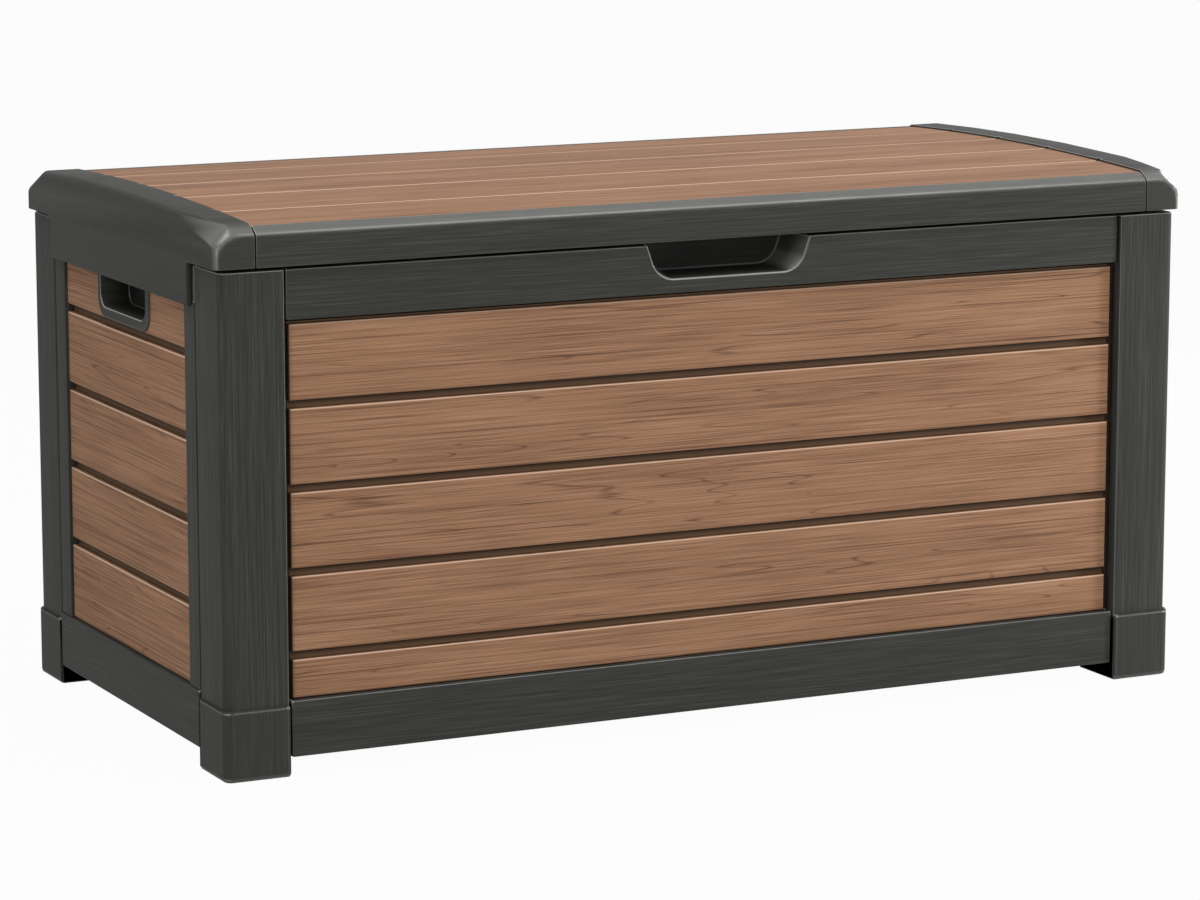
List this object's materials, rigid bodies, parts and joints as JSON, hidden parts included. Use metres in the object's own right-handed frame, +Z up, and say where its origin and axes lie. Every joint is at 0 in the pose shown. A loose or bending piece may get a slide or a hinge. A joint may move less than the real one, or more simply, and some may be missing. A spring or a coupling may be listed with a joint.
{
  "type": "outdoor storage box",
  "caption": "Outdoor storage box in moulded wood-look resin, with corner posts, hand holes in the ends, a finger recess in front and a hinged plank lid.",
  "frame": {"origin": "on the ground, under the middle of the box", "axes": "+Z up, +X along the box to the right seen from the front, the front faces -Y"},
  "size_m": [1.28, 0.6444, 0.6473],
  "materials": {
    "graphite_resin": "satin, fine moulded grain",
    "brown_resin": "matte, moulded wood grain",
    "hinge_steel": "black powder coat",
    "plated_steel": "zinc plated",
    "black_rubber": "matte"
  },
  "bodies": {
    "root": {"post_front_left": "graphite_resin", "post_front_right": "graphite_resin", "post_rear_left": "graphite_resin", "post_rear_right": "graphite_resin", "foot_front_left": "graphite_resin", "foot_front_right": "graphite_resin", "foot_rear_left": "graphite_resin", "foot_rear_right": "graphite_resin", "stile_front_left": "graphite_resin", "stile_front_right": "graphite_resin", "stile_rear_left": "graphite_resin", "stile_rear_right": "graphite_resin", "wall_front": "brown_resin", "wall_rear": "brown_resin", "wall_left": "brown_resin", "wall_right": "brown_resin", "bottom_rail_front": "graphite_resin", "bottom_rail_rear": "graphite_resin", "top_rail_front": "graphite_resin", "top_rail_rear": "graphite_resin", "skirt_left": "graphite_resin", "skirt_right": "graphite_resin", "handle_rail_left": "graphite_resin", "handle_rail_right": "graphite_resin", "floor_panel": "graphite_resin", "hinge_leaf_left": "hinge_steel", "hinge_leaf_middle": "hinge_steel", "hinge_leaf_right": "hinge_steel", "hinge_screws": "plated_steel", "bumper_left": "black_rubber", "bumper_right": "black_rubber"},
    "lid": {"lid_cap_left": "graphite_resin", "lid_cap_right": "graphite_resin", "lid_rail_front": "graphite_resin", "lid_rail_rear": "graphite_resin", "lid_board_1": "brown_resin", "lid_board_2": "brown_resin", "lid_board_3": "brown_resin", "lid_board_4": "brown_resin", "lid_board_5": "brown_resin", "lid_liner": "graphite_resin", "hinge_pin_left": "plated_steel", "hinge_pin_middle": "plated_steel", "hinge_pin_right": "plated_steel"}
  },
  "joints": [
    {"name": "lid_hinge", "type": "hinge", "parent": "root", "child": "lid", "pos_m": [0, 0.313, 0.597], "axis": [-1, 0, 0], "range_deg": [0, 95]}
  ]
}
